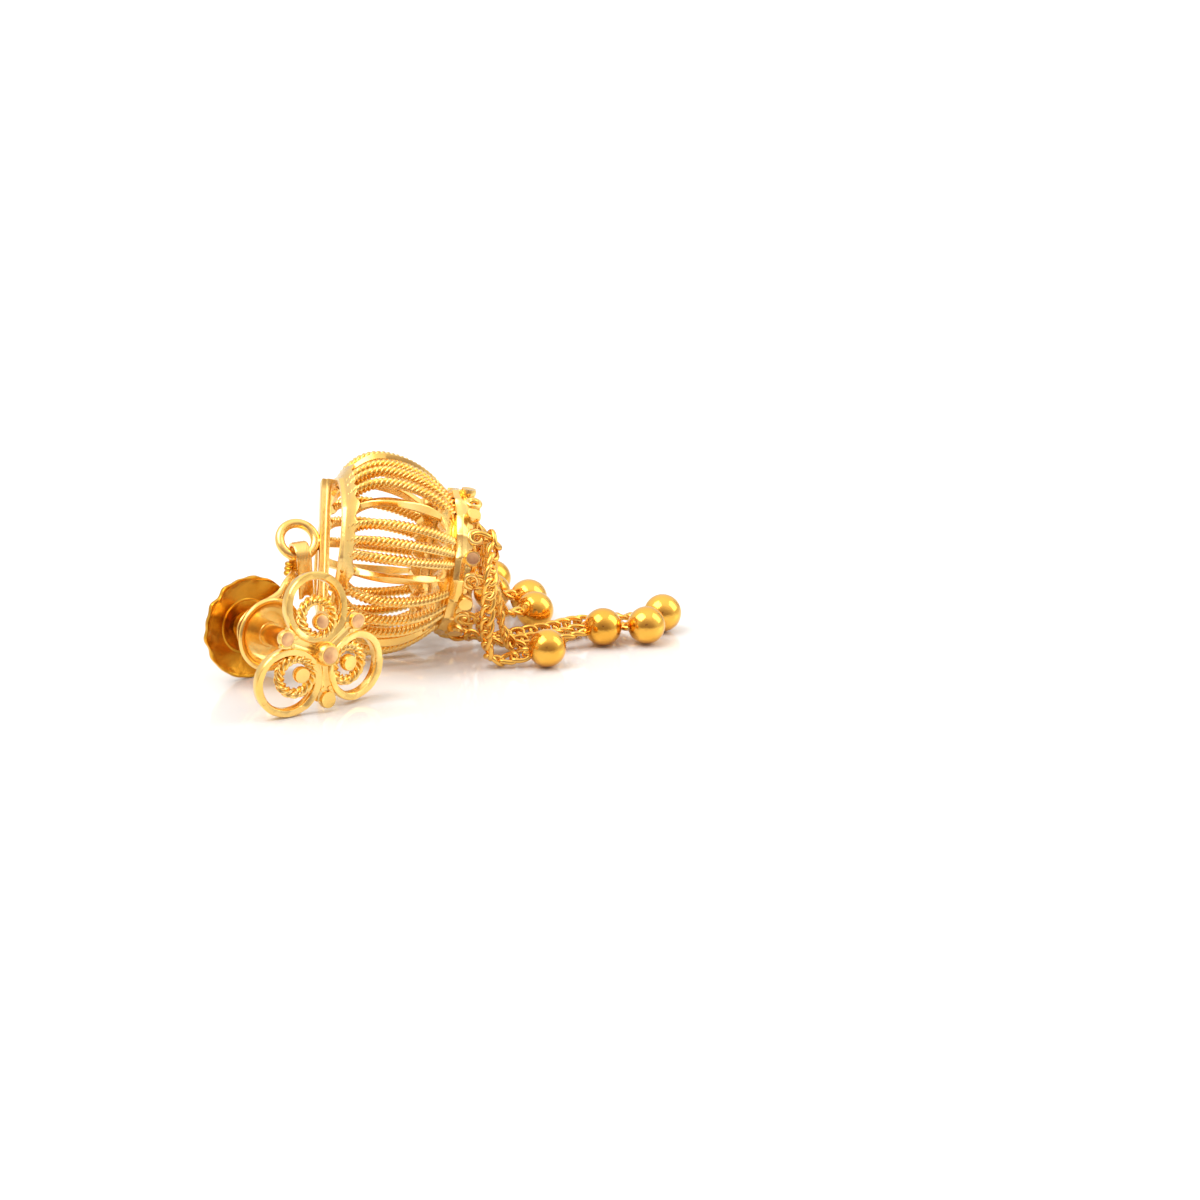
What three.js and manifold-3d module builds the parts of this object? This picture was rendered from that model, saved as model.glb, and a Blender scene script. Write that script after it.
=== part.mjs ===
// A jhumka earring in yellow gold, lying on its side: a trefoil stud with a screw back, a bail,
// an openwork bell and ten chains that each end in a ball. Millimetres, +Z up.
// The origin is under the middle of the whole earring, on the surface that it lies on.
import * as THREE from 'three';
import { mergeVertices } from 'three/addons/utils/BufferGeometryUtils.js';
import Module from 'manifold-3d';

const wasm = await Module();
wasm.setup();

// Bell: lengths along its axis are counted from the belly, towards the top opening or the mouth
const bellRadius = 8.0;
const topOpeningRadius = 5.78;
const mouthRadius = 5.45;
const bellyToTop = 2.81;
const bellyToMouth = 5.84;
const topCurve = 1.65;
const mouthCurve = 2.15;
const bellCentre = [-18.41, -12.48, 7.99];
const bellAxisTurn = 10.55;
const bellAxisDip = 9.89;
const bellRoll = 16.4;

// Ribs: seven flat ones, with three twisted wires after each
const ropeRadius = 0.37;
const flatWidth = 1.0;
const flatThickness = 0.62;
const ribs = [
  { flat: 14, ropes: [0.29, 0.56, 0.77] },
  { flat: 64, ropes: [0.2, 0.46, 0.74] },
  { flat: 116, ropes: [0.27, 0.5, 0.73] },
  { flat: 170, ropes: [0.26, 0.51, 0.75] },
  { flat: 226, ropes: [0.25, 0.5, 0.76] },
  { flat: 281, ropes: [0.29, 0.46, 0.7] },
  { flat: 327.6, ropes: [0.32, 0.55, 0.76] },
];

// Small edge cuts, and how far soldered pieces run into each other
const edge = 0.1;
const sink = 0.2;

// Rims of the bell
const rimWall = 0.6;
const topRimHeight = 0.75;
const neckHeight = 0.65;
const bandHeight = 0.95;
const bandStep = 0.42;
const rimSides = 28;

// Crossbar over the top opening, and the hanging ring soldered on it
const crossbarTurn = 66;
const crossbarWidth = 1.0;
const crossbarHeight = 0.8;
const solderDepth = 0.08;
const hangingRingRadius = 1.42;
const hangingWireRadius = 0.35;
const hangingRingShift = 0.4;

// Ten stations round the mouth, each with a granule and a chain loop
const stationCount = 10;
const firstGranuleTurn = -4;
const granuleRadius = 0.62;
const chainLoopRadius = 0.52;
const chainLoopWire = 0.2;

// Stud: three petal rings round a centre, domed back a little
const studCentre = [-21.08, -27.34, 4.66];
const studTurn = 36.47;
const studLean = 3.75;
const studRoll = 1.86;
const petalRadius = 2.76;
const petalBand = 0.58;
const petalThickness = 0.72;
const petalSpread = 3.54;
const petalDoming = 9.4;
const ropeRingRadius = 1.4;
const ropeRingWire = 0.38;
const ropeRingShift = 0.8;
const petalGranuleRadius = 0.66;
const petalGranuleShift = 1.25;
const centreBallRadius = 0.95;
const notchGranuleRadius = 0.68;
const notchSpread = 3.72;
const webThickness = 0.5;
const webWidth = 1.5;

// Post tube, its cup, and the screw back whose pin runs in the tube
const postRadius = 0.8;
const tubeRadius = 1.0;
const tubeLength = 10.1;
const boreRadius = 0.6;
const boreDepth = 6.1;
const pinClearance = 0.05;
const pinLength = 5.2;
const faceGap = 0.3;
const cupRadius = 2.82;
const cupToTubeEnd = 2.77;
const cupDepth = 1.2;
const cupWall = 0.35;
const discRadius = 4.02;
const discDish = 0.65;
const discWall = 0.28;
const bossRadius = 1.15;
const bossHeight = 0.45;
const roundSides = 16;

// Bail: a flat strap folded over the hanging ring, soldered to a wire loop round the post tube
const strapWidth = 1.2;
const strapThickness = 0.26;
const strapInnerRadius = 0.95;
const strapFrontLength = 3.1;
const strapNotch = 0.9;
const strapSwing = 10;
const strapTurn = 21;
const strapLean = 2;
const bailWireRadius = 0.27;
const collarRadius = 0.54;

// Chains and balls
const chainRadius = 0.5;
const chainSides = 8;
const chainSteps = 14;
const ballRadius = 1.5;
const neckRadius = 0.3;
const neckLength = 0.3;
const linkGap = 0.3;
const loopGap = 0.8;
const insideGap = 0.5;

// Chosen places of the ten chains, in order round the mouth, and of their balls on the surface.
// A route starts at its loop on the bell and ends at its ball, so only the points between are given.
const chainRoutes = [
  { inside: true, via: [[-9.6, -8.3, 8.5], [-9.2, -7.8, 6.3], [-8.6, -6.9, 4.0], [-8.0, -5.9, 2.4]], ball: [-5.75, -4.0] },
  { inside: true, via: [[-8.95, -12.1, 8.0], [-8.6, -11.8, 5.5], [-8.2, -11.0, 3.4], [-7.6, -9.7, 2.0]], ball: [-5.2, -7.2] },
  { via: [[-8.5, -17.5, 7.4], [-8.75, -17.9, 4.5], [-8.8, -17.5, 1.9], [-8.3, -17.0, 0.7], [-6.8, -16.9, 0.75]],
    ball: [-4.14, -16.76] },
  { via: [[-8.0, -15.7, 4.4], [-7.5, -15.2, 2.2], [-6.6, -14.5, 0.85], [-3.8, -13.1, 0.75]], ball: [0.24, -11.46] },
  { via: [[-9.0, -14.7, 1.7], [-7.6, -13.3, 0.8], [-4.5, -11.7, 0.7], [-1.4, -9.6, 0.7], [0.8, -9.1, 0.8]],
    ball: [3.68, -11.03] },
  { via: [[-9.8, -12.0, 0.75], [-7.2, -10.9, 0.7], [-4.4, -9.75, 0.7], [-1.5, -7.6, 0.7], [1.8, -7.2, 0.9]],
    ball: [4.99, -7.9] },
  { via: [[-10.9, -8.9, 0.65], [-11.6, -6.6, 0.6], [-12.9, -3.5, 0.6], [-13.2, 0.0, 0.6]], ball: [-13.4, 3.7] },
  { via: [[-10.9, -6.0, 2.5], [-10.8, -4.6, 1.0], [-11.6, -2.0, 0.6], [-11.7, 1.5, 0.6], [-11.1, 3.6, 0.7]],
    ball: [-10.3, 6.6] },
  { via: [[-10.8, -4.5, 4.6], [-10.95, -3.0, 2.6], [-10.7, -1.0, 1.5]], ball: [-8.75, 1.15] },
  { inside: true, via: [[-9.6, -5.0, 7.2], [-9.35, -4.6, 5.2], [-9.3, -3.9, 4.0]], ball: [-8.72, -2.51] },
];

const gold = (name, color, roughness) => new THREE.MeshStandardMaterial({ name, color, roughness, metalness: 1 });
const bellGold = gold('bell_gold', 0xe0a33c, 0.32);
const studGold = gold('stud_gold', 0xe8ad45, 0.28);
const backGold = gold('back_gold', 0xd9982f, 0.18);
const chainGold = gold('chain_gold', 0xd08f2e, 0.25);
const ballGold = gold('ball_gold', 0xe2a036, 0.12);

const radians = THREE.MathUtils.degToRad;
const point = (values) => new THREE.Vector3(...values);

// Turns a geometry into a solid, with its shared corners merged
function solidOf(geometry) {
  const bare = geometry.clone();
  bare.deleteAttribute('normal');
  bare.deleteAttribute('uv');
  const merged = mergeVertices(bare, 1e-4);
  const corners = merged.attributes.position;
  const order = Array.from(merged.index.array);
  let volume = 0;
  const [a, b, c] = [new THREE.Vector3(), new THREE.Vector3(), new THREE.Vector3()];
  for (let i = 0; i < order.length; i += 3) {
    a.fromBufferAttribute(corners, order[i]);
    b.fromBufferAttribute(corners, order[i + 1]);
    c.fromBufferAttribute(corners, order[i + 2]);
    volume += a.dot(b.cross(c));
  }
  if (volume < 0) {
    order.reverse();
  }
  const mesh = new wasm.Mesh({
    numProp: 3,
    vertProperties: new Float32Array(corners.array),
    triVerts: new Uint32Array(order),
  });
  return new wasm.Manifold(mesh);
}

const joined = (geometries) => geometries.map(solidOf).reduce((sum, next) => sum.add(next));

function geometryOf(solid) {
  const mesh = solid.getMesh();
  const geometry = new THREE.BufferGeometry();
  geometry.setAttribute('position', new THREE.BufferAttribute(new Float32Array(mesh.vertProperties), 3));
  geometry.setIndex(new THREE.BufferAttribute(new Uint32Array(mesh.triVerts), 1));
  geometry.computeVertexNormals();
  return geometry;
}

// A wire or tube with the given number of sides along a curve
function wire(curve, radius, sides, steps) {
  const section = new THREE.Shape();
  for (let i = 0; i < sides; i += 1) {
    const angle = (2 * Math.PI * i) / sides;
    section[i === 0 ? 'moveTo' : 'lineTo'](radius * Math.cos(angle), radius * Math.sin(angle));
  }
  return new THREE.ExtrudeGeometry(section, { extrudePath: curve, steps, bevelEnabled: false });
}

// A turned ring about +Z, from its section as [radius, height] pairs
function turned(section, sides) {
  const profile = section.map(([radius, height]) => new THREE.Vector2(radius, height));
  return new THREE.LatheGeometry(profile, sides).rotateX(Math.PI / 2);
}

const closed = (section) => [...section, section[0]];

// A granule with a flat cut face towards +Z
function granule(radius, sides = 8) {
  const flatAt = 0.45 * radius;
  const flatRadius = Math.sqrt(radius * radius - flatAt * flatAt);
  return turned([[0, -radius], [0.72 * radius, -0.7 * radius], [radius, 0], [flatRadius, flatAt], [0, flatAt]], sides);
}

function named(name, geometry, material) {
  const mesh = new THREE.Mesh(geometry, material);
  mesh.name = name;
  return mesh;
}

// The bell's frame: +X from the top opening to the mouth, +Z points down once it lies
const bellFrame = new THREE.Group();
const bellAlong = new THREE.Vector3(
  Math.cos(radians(bellAxisDip)) * Math.cos(radians(bellAxisTurn)),
  Math.cos(radians(bellAxisDip)) * Math.sin(radians(bellAxisTurn)),
  -Math.sin(radians(bellAxisDip)),
);
const bellSide = new THREE.Vector3(Math.sin(radians(bellAxisTurn)), -Math.cos(radians(bellAxisTurn)), 0);
const bellDown = new THREE.Vector3().crossVectors(bellAlong, bellSide);
const bellBasis = new THREE.Matrix4().makeBasis(bellAlong, bellSide, bellDown);
bellBasis.multiply(new THREE.Matrix4().makeRotationX(-radians(bellRoll)));
bellFrame.quaternion.setFromRotationMatrix(bellBasis);
bellFrame.position.set(...bellCentre);
bellFrame.updateMatrixWorld(true);

// The stud's frame: +Z out of its face, +Y up, and the post runs along -Z
const studFrame = new THREE.Group();
const studOut = new THREE.Vector3(
  Math.cos(radians(studLean)) * Math.sin(radians(studTurn)),
  -Math.cos(radians(studLean)) * Math.cos(radians(studTurn)),
  Math.sin(radians(studLean)),
);
const studRight = new THREE.Vector3(0, 0, 1).cross(studOut).normalize();
const studUp = new THREE.Vector3().crossVectors(studOut, studRight);
studFrame.quaternion.setFromRotationMatrix(new THREE.Matrix4().makeBasis(studRight, studUp, studOut));
studFrame.position.set(...studCentre);
studFrame.updateMatrixWorld(true);

// The bell's outline: its radius at a distance from the belly
function bellOutline(along) {
  if (along < 0) {
    return bellRadius - (bellRadius - topOpeningRadius) * (-along / bellyToTop) ** topCurve;
  }
  return bellRadius - (bellRadius - mouthRadius) * (along / bellyToMouth) ** mouthCurve;
}

const shares = (count) => Array.from({ length: count + 1 }, (_, i) => i / count);
const bandEnd = bellyToMouth + neckHeight / 2 + bandHeight;

function ropeRib(turn) {
  const line = shares(7).map((share) => {
    const along = -bellyToTop + share * (bellyToTop + bellyToMouth);
    return new THREE.Vector3(along, bellOutline(along) - ropeRadius, 0);
  });
  return wire(new THREE.CatmullRomCurve3(line), ropeRadius, 5, 7).rotateX(radians(turn));
}

function flatRib(turn) {
  const outline = new THREE.Shape();
  const stations = shares(10).map((share) => -bellyToTop + share * (bellyToTop + bellyToMouth));
  stations.forEach((along, i) => {
    outline[i === 0 ? 'moveTo' : 'lineTo'](along, bellOutline(along));
  });
  stations.reverse().forEach((along) => outline.lineTo(along, bellOutline(along) - flatThickness));
  const rib = new THREE.ExtrudeGeometry(outline, { depth: flatWidth, bevelEnabled: false });
  return rib.translate(0, 0, -flatWidth / 2).rotateX(radians(turn));
}

function bellRibs() {
  return ribs.flatMap(({ flat, ropes }, i) => {
    const next = i + 1 < ribs.length ? ribs[i + 1].flat : ribs[0].flat + 360;
    return [flatRib(flat), ...ropes.map((share) => ropeRib(flat + share * (next - flat)))];
  });
}

// Rings about the bell's axis, which is +X in its frame
const aboutBell = (section, sides) => turned(closed(section), sides).rotateY(Math.PI / 2);

function topRim() {
  const end = -bellyToTop - topRimHeight / 3;
  const inner = end + topRimHeight;
  return aboutBell([
    [topOpeningRadius - rimWall, end],
    [topOpeningRadius - edge / 2, end],
    [bellOutline(inner) - edge, inner],
    [bellOutline(inner) - rimWall - edge, inner],
  ], rimSides);
}

function mouthRim() {
  const start = bellyToMouth - neckHeight;
  const groove = bellyToMouth + neckHeight / 4;
  const inside = mouthRadius - rimWall + edge;
  return aboutBell([
    [inside, start],
    [bellOutline(start) - edge / 2, start],
    [mouthRadius, bellyToMouth],
    [mouthRadius - edge, groove],
    [mouthRadius + bandStep, groove + edge / 2],
    [mouthRadius + bandStep, bandEnd - 2 * edge],
    [mouthRadius + bandStep / 3, bandEnd],
    [inside, bandEnd],
  ], rimSides);
}

const crossbarFoot = -bellyToTop - topRimHeight / 3 + solderDepth;
const crossbarTop = crossbarFoot - crossbarHeight;
const hangingRingAt = crossbarTop + solderDepth - hangingWireRadius - hangingRingRadius;

function crossbar() {
  const bar = new THREE.BoxGeometry(crossbarHeight, 2 * (topOpeningRadius - edge), crossbarWidth);
  return bar.translate((crossbarFoot + crossbarTop) / 2, 0, 0).rotateX(radians(crossbarTurn));
}

function hangingRing() {
  const ring = new THREE.TorusGeometry(hangingRingRadius, hangingWireRadius, 6, 16);
  return ring.translate(hangingRingAt, -hangingRingShift, 0).rotateX(radians(crossbarTurn));
}

const stationTurn = (i) => firstGranuleTurn + (360 / stationCount) * i;
const loopTurn = (i) => stationTurn(i - 2.5);
const granuleAt = mouthRadius + 0.7 * bandStep;
const loopAt = mouthRadius + bandStep / 3;

function stationGranule(i) {
  const bead = granule(granuleRadius).rotateX(-Math.PI / 2);
  return bead.translate(bandEnd + 0.4 * granuleRadius, granuleAt, 0).rotateX(radians(stationTurn(i)));
}

const chainLoopAt = bandEnd + chainLoopRadius - solderDepth;

function chainLoop(i) {
  const loop = new THREE.TorusGeometry(chainLoopRadius, chainLoopWire, 5, 8).rotateX(Math.PI / 2);
  return loop.translate(chainLoopAt, loopAt, 0).rotateX(radians(loopTurn(i)));
}

function bell() {
  const stations = shares(stationCount).slice(1).map((_, i) => i);
  const solid = joined([
    topRim(),
    mouthRim(),
    ...bellRibs(),
    crossbar(),
    hangingRing(),
    ...stations.map(stationGranule),
    ...stations.map(chainLoop),
  ]);
  return named('bell', geometryOf(solid), bellGold);
}

const thirds = [0, 1, 2];
const petalTurn = (k) => studRoll + 90 + 120 * k;

// Moves a geometry made about +Z out to a petal's place, tilted with the petal
function onPetal(geometry, k, inward, forward = 0) {
  return geometry
    .translate(-inward, 0, forward)
    .translate(petalSpread, 0, 0)
    .rotateY(radians(petalDoming))
    .rotateZ(radians(petalTurn(k)));
}

function petalRing(k) {
  const [inner, outer, half] = [petalRadius - petalBand, petalRadius, petalThickness / 2];
  const middle = (inner + outer) / 2;
  const section = [[inner, -half], [outer, -half], [outer, 0.4 * half], [middle, half], [inner, 0.4 * half]];
  return onPetal(turned(closed(section), 24), k, 0);
}

const ropeRing = (k) => onPetal(new THREE.TorusGeometry(ropeRingRadius, ropeRingWire, 5, 14), k, ropeRingShift);
const petalGranule = (k) => onPetal(granule(petalGranuleRadius), k, petalGranuleShift, sink);

function notchGranule(k) {
  return granule(notchGranuleRadius).translate(notchSpread, 0, 0).rotateZ(radians(petalTurn(k) + 60));
}

function web(k) {
  const arm = new THREE.BoxGeometry(notchSpread, webWidth, webThickness);
  return arm.translate(notchSpread / 2, 0, -webThickness / 2).rotateZ(radians(petalTurn(k) + 60));
}

// Rings about the post, with heights counted back from the face
const aboutPost = (section, sides) => turned(section.map(([radius, back]) => [radius, -back]), sides);

function cup() {
  const rimAt = tubeLength - cupToTubeEnd;
  const floorAt = rimAt + cupDepth;
  return aboutPost(closed([
    [tubeRadius - sink, floorAt - cupWall],
    [0.72 * cupRadius, floorAt - 1.4 * cupWall],
    [cupRadius - 1.2 * cupWall, rimAt],
    [cupRadius - edge, rimAt - 2 * edge],
    [cupRadius + edge, rimAt + edge],
    [0.82 * cupRadius, floorAt - edge],
    [tubeRadius - sink, floorAt + edge],
  ]), 24);
}

function stud() {
  const tubeFrom = tubeLength - cupToTubeEnd;
  const tube = aboutPost([
    [0, sink],
    [postRadius, sink],
    [postRadius, tubeFrom],
    [tubeRadius, tubeFrom],
    [tubeRadius, tubeLength],
    [0, tubeLength],
  ], roundSides);
  const boreFrom = tubeLength - boreDepth;
  const boreTo = tubeLength + boreRadius;
  const bore = aboutPost([[0, boreFrom], [boreRadius, boreFrom], [boreRadius, boreTo], [0, boreTo]], roundSides);
  const solid = joined([
    ...thirds.map(petalRing),
    ...thirds.map(ropeRing),
    ...thirds.map(petalGranule),
    ...thirds.map(web),
    ...thirds.map(notchGranule),
    granule(centreBallRadius, 10).translate(0, 0, centreBallRadius / 2),
    tube,
    cup(),
  ]);
  return named('stud', geometryOf(solid.subtract(solidOf(bore))), studGold);
}

function screwBack() {
  const bossFace = tubeLength + faceGap;
  const discFloor = bossFace + bossHeight;
  const rimAt = discFloor - discDish;
  const pinRadius = boreRadius - pinClearance;
  const section = [
    [0, bossFace - pinLength],
    [pinRadius, bossFace - pinLength],
    [pinRadius, bossFace],
    [bossRadius, bossFace],
    [bossRadius, discFloor],
    [0.68 * discRadius, discFloor - 0.25 * discDish],
    [discRadius, rimAt],
    [discRadius, rimAt + discWall],
    [0.68 * discRadius, discFloor - 0.25 * discDish + discWall],
    [0.3 * discRadius, discFloor + discWall],
    [0, discFloor + discWall],
  ];
  return named('screw_back', geometryOf(solidOf(aboutPost(section, 24))), backGold);
}

// The strap's fold is round the lowest wire of the hanging ring, a little towards the bell
const foldCentre = new THREE.Vector3(0, hangingRingRadius, 0)
  .applyAxisAngle(new THREE.Vector3(0, 0, 1), -radians(strapSwing))
  .add(new THREE.Vector3(hangingRingAt, -hangingRingShift, 0))
  .applyAxisAngle(new THREE.Vector3(1, 0, 0), radians(crossbarTurn))
  .applyMatrix4(bellFrame.matrixWorld);

// The strap is drawn from its side, with its long leg in front, then turned and leant
function strap() {
  const outer = strapInnerRadius + strapThickness;
  const tip = -strapFrontLength;
  const side = new THREE.Shape();
  side.moveTo(outer, tip);
  side.lineTo(outer, 0);
  side.absarc(0, 0, outer, 0, Math.PI, false);
  side.lineTo(-outer, -outer);
  side.lineTo(-strapInnerRadius, -outer);
  side.lineTo(-strapInnerRadius, 0);
  side.absarc(0, 0, strapInnerRadius, Math.PI, 0, true);
  side.lineTo(strapInnerRadius, tip);
  const band = new THREE.ExtrudeGeometry(side, { depth: strapWidth, bevelEnabled: false, curveSegments: 8 });
  band.translate(0, 0, -strapWidth / 2);
  const notch = new THREE.CylinderGeometry(strapNotch / 2, strapNotch / 2, 4 * strapThickness, 3);
  notch.rotateZ(Math.PI / 2).translate(strapInnerRadius + strapThickness / 2, tip, 0);
  const placed = [band, notch].map((piece) => piece
    .rotateX(Math.PI / 2)
    .rotateZ(-Math.PI / 2)
    .rotateY(-radians(strapLean))
    .rotateZ(radians(strapTurn))
    .translate(foldCentre.x, foldCentre.y, foldCentre.z));
  return solidOf(placed[0]).subtract(solidOf(placed[1]));
}

// The collar joins the strap's short leg to the two ends of the wire loop
const collarAt = [-24.3, -13.35, 6.4];
const collarTop = [-24.15, -13.2, 7.4];

// The loop's chosen points in the stud's frame, with the last number counted out from the tube's end:
// round the post tube between the cup and the screw back, then out past the screw back's rim
const loopPoints = [
  [4.7, 3.25, -1.0],
  [3.1, 3.15, 0.55],
  [2.2, 2.5, 0.85],
  [-0.55, 1.55, 0.85],
  [-1.53, 0.56, 0.8],
  [-1.41, -0.81, 0.8],
  [-0.28, -1.6, 0.8],
  [1.05, -1.25, 0.75],
  [2.9, 2.1, 0.45],
  [3.75, 2.95, 0.25],
  [5.1, 2.85, -1.2],
];
const besidePost = ([x, y, out]) => new THREE.Vector3(x, y, out - tubeLength).applyMatrix4(studFrame.matrixWorld);

function bail() {
  const path = [point(collarAt), ...loopPoints.map(besidePost), point(collarAt)];
  const loop = wire(new THREE.CatmullRomCurve3(path, false, 'centripetal'), bailWireRadius, 6, 36);
  const collar = wire(new THREE.LineCurve3(point(collarAt), point(collarTop)), collarRadius, 10, 1);
  return named('bail', geometryOf(strap().add(solidOf(collar)).add(solidOf(loop))), studGold);
}

// A chain starts just off its loop on the bell: out from the mouth, or towards the bell's axis
function chainStart(route, i) {
  const reach = chainLoopRadius + chainLoopWire;
  const start = route.inside
    ? new THREE.Vector3(chainLoopAt, loopAt - reach - insideGap, 0)
    : new THREE.Vector3(chainLoopAt + reach + loopGap, loopAt, 0);
  start.applyAxisAngle(new THREE.Vector3(1, 0, 0), radians(loopTurn(i)));
  return start.applyMatrix4(bellFrame.matrixWorld);
}

const ballCentre = ({ ball }) => new THREE.Vector3(ball[0], ball[1], ballRadius);

// The way from a ball to the last point of its route, where its neck points
function neckWay(route) {
  return point(route.via.at(-1)).sub(ballCentre(route)).normalize();
}

function chain(route, i) {
  const end = ballCentre(route).addScaledVector(neckWay(route), ballRadius + neckLength + linkGap);
  const path = new THREE.CatmullRomCurve3([chainStart(route, i), ...route.via.map(point), end], false, 'centripetal');
  const name = `chain_${String(i + 1).padStart(2, '0')}`;
  return named(name, geometryOf(solidOf(wire(path, chainRadius, chainSides, chainSteps))), chainGold);
}

function ball(route, i) {
  const round = new THREE.SphereGeometry(ballRadius, 12, 8).rotateX(Math.PI / 2);
  const neck = new THREE.CylinderGeometry(neckRadius, neckRadius, 2 * neckLength, 6);
  neck.rotateX(Math.PI / 2).translate(0, 0, ballRadius);
  const turn = new THREE.Quaternion().setFromUnitVectors(new THREE.Vector3(0, 0, 1), neckWay(route));
  const mesh = named(`ball_${String(i + 1).padStart(2, '0')}`, geometryOf(joined([round, neck])), ballGold);
  mesh.quaternion.copy(turn);
  mesh.position.copy(ballCentre(route));
  return mesh;
}

const earring = new THREE.Group();
bellFrame.add(bell());
studFrame.add(stud(), screwBack());
earring.add(bellFrame, studFrame, bail());
chainRoutes.forEach((route, i) => earring.add(chain(route, i), ball(route, i)));

// Moves the origin to the bottom centre of the whole earring
earring.updateMatrixWorld(true);
const box = new THREE.Box3().setFromObject(earring, true);
const middle = box.getCenter(new THREE.Vector3());
earring.position.set(-middle.x, -middle.y, -box.min.z);

export default earring;
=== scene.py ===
import math

import bmesh
import bpy
import numpy as np
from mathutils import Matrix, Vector

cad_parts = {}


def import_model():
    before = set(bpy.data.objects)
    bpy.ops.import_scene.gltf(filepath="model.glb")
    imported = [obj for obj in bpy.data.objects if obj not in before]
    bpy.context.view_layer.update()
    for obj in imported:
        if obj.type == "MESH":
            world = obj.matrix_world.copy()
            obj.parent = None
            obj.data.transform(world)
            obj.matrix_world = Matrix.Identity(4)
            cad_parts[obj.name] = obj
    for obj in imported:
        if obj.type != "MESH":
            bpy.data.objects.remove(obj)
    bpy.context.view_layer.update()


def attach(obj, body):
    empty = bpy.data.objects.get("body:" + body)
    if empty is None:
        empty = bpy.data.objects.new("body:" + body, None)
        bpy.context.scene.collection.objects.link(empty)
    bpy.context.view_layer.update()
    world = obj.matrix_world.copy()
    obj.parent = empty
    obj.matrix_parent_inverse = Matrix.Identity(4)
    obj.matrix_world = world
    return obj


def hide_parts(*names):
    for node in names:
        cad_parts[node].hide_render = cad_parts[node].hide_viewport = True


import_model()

# The jhumka earring on a glossy white floor, in soft light. Lengths are in millimetres until mesh_object().

# The scene is laid out about the point that the camera looks at, and the row's origin is elsewhere
ORIGIN = np.array([12.024, 11.0647, 0.0368])

# Bell: lengths along its axis are counted from the belly
BELL_CENTRE = np.array([-18.41, -12.48, 7.99])
BELL_TURN = 10.55
BELL_DIP = 9.89
BELL_ROLL = 16.4
BELL_R = 8.0
TOP_R = 5.78
MOUTH_R = 5.45
TO_TOP = 2.81
TO_MOUTH = 5.84
TOP_CURVE = 1.9
MOUTH_CURVE = 2.45
BELLY_SMOOTH = 1.1
BELLY_LIFT = 0.06
# Each flat rib's angle, and how far from it towards the next one the ropes between them stand
RIBS = [
    (14, (0.29, 0.56, 0.77)),
    (64, (0.2, 0.46, 0.74)),
    (116, (0.27, 0.5, 0.73)),
    (170, (0.26, 0.51, 0.75)),
    (226, (0.25, 0.5, 0.76)),
    (281, (0.29, 0.46, 0.7)),
    (327.6, (0.32, 0.55, 0.76)),
]
RIB_OVERLAP = 0.1
ROPE_R = 0.37
ROPE_FULL = 1.19
ROPE_FLARE = 0.1
ROPE_LAY = 1.48
ROPE_DEPTH = 0.34
ROPE_START = 0.52
ROPE_SINK = 0.34
SINK_AT = 0.74
SINK_SPAN = 0.09
STRANDS = 4
FLAT_WIDTH = 1.0
FLAT_THICK = 0.62
FLAT_FLARE = 0.42
FLAT_FALL = 0.3
FLAT_LEAST = 0.64
FLAT_SWELL = 0.14
FLARE_SPAN = 0.5
WAIST = 0.22
WAIST_AT = 0.86
WAIST_SPAN = 0.08
NARROW_FLAT = 281
NARROW_SHARE = 0.68
FLAT_SPREAD = 5.4
ROPE_SPREAD = 3.4
RIM_WALL = 0.6
RIM_FACETS = 9
RIM_FACETS_FROM = 6
TOP_RIM = 0.75
PLATE_MORE = 0.12
SCALLOP = 0.3
NECK = 0.65
NECK_SCALLOP = 0.5
NECK_GROOVE = 0.14
BAND = 0.95
BAND_STEP = 0.42
BAND_FACETS = 20
BAND_LEAN = 0.11
FACET_DEPTH = 0.2
BAR_TURN = 66
BAR_WIDTH = 1.0
BAR_HEIGHT = 0.8
BAR_SIDE = 0.42
SOLDER = 0.08
RING_R = 1.42
RING_WIRE = 0.35
RING_FULL = 1.08
RING_SHIFT = 0.4
RING_SOLDER_WIRE = 0.09
STATIONS = 10
STATION_STEP = 36
CUT_STATIONS = (0, 3, 6)
GRANULE_TURN = -4
GRANULE_R = 0.62
GRANULE_CUT = 0.5
GRANULE_CUT_SPREAD = 0.06
SMALL_GRANULE = 0.26
SMALL_TURN = 9
LOOP_R = 0.52
LOOP_WIRE = 0.2
# Where these parts stand along the axis and out from it
BAR_FOOT = -TO_TOP - TOP_RIM / 3 + SOLDER
BAR_TOP = BAR_FOOT - BAR_HEIGHT
RING_AT = BAR_TOP + SOLDER - RING_WIRE - RING_R
BAND_END = TO_MOUTH + NECK / 2 + BAND
GRANULE_AT = MOUTH_R + 0.7 * BAND_STEP
LOOP_OUT = MOUTH_R + BAND_STEP / 3
LOOP_AT = BAND_END + LOOP_R - SOLDER

# Stud
STUD_CENTRE = np.array([-21.08, -27.34, 4.66])
STUD_TURN = 36.47
STUD_LEAN = 3.75
STUD_ROLL = 1.86
PETAL_R = 2.76
PETAL_BAND = 0.64
PETAL_THICK = 0.72
PETAL_SPREAD = 3.54
PETAL_DOMING = 9.4
PETAL_FACET = math.pi / 6
TWIST_R = 1.4
TWIST_WIRE = 0.41
TWIST_FULL = 1.06
TWIST_LAY = 2.1
TWIST_DEPTH = 0.46
TWIST_SHIFT = 0.8
TWIST_OUT = 0.02
PETAL_GRANULE = 0.66
PETAL_GRANULE_CUT = 0.5
PETAL_GRANULE_SHIFT = 1.1
PETAL_GRANULE_OUT = 0.42
CENTRE_BALL = 0.95
CENTRE_BALL_CUT = 0.6
NOTCH_GRANULE = 0.68
NOTCH_GRANULE_CUT = 0.42
NOTCH_SPREAD = 3.72
CUT_NOTCHES = (0, 2)
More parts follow.
